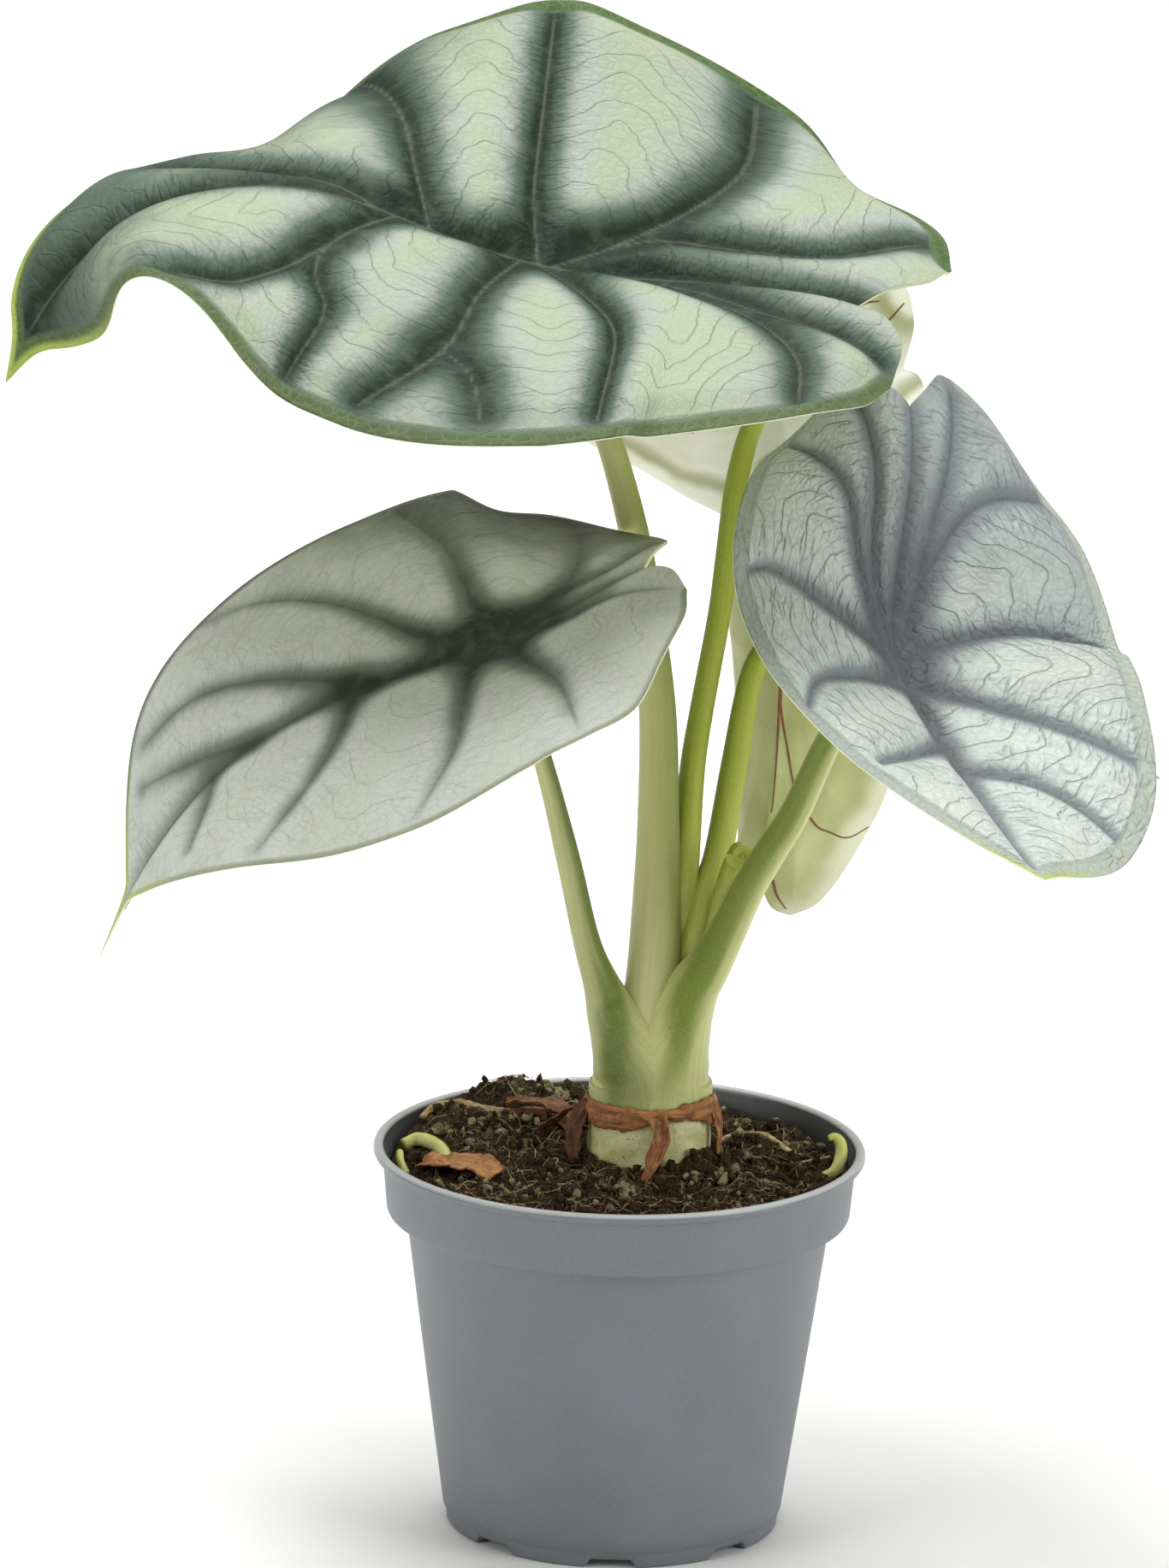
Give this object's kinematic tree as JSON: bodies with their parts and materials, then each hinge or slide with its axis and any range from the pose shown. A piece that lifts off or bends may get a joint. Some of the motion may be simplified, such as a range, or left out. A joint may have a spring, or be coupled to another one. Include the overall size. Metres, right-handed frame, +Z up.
{
  "type": "potted alocasia plant",
  "caption": "Potted silver dragon alocasia with puckered silvery leaves on green stalks, in a round plastic nursery pot filled with soil.",
  "frame": {"origin": "centre of the pot's underside, on the surface the pot stands on", "axes": "+Z up along the pot's axis, +X to the plant's right as it is usually looked at, -Y towards the front"},
  "size_m": [0.2737, 0.2081, 0.3635],
  "materials": {
    "pot": "matte",
    "soil": "matte",
    "stem": "satin",
    "stalk": "satin",
    "blade": "satin",
    "dry": "matte",
    "root": "matte",
    "shoot": "satin"
  },
  "bodies": {
    "root": {"pot": "pot", "soil": "soil", "stem_base": "stem", "stalk_right": "stalk", "stalk_left": "stalk", "stalk_top": "stalk", "stalk_rear": "stalk", "stalk_young": "stalk", "new_shoot": "stalk", "blade_top": "blade", "blade_left": "blade", "blade_right": "blade", "blade_rear": "blade", "blade_young": "blade", "dry_sheath": "dry", "dried_stalk": "dry", "dry_scale": "dry", "root_right": "root", "root_thin": "root", "green_stub": "shoot", "pale_stub": "shoot", "sprout": "shoot"}
  },
  "joints": []
}
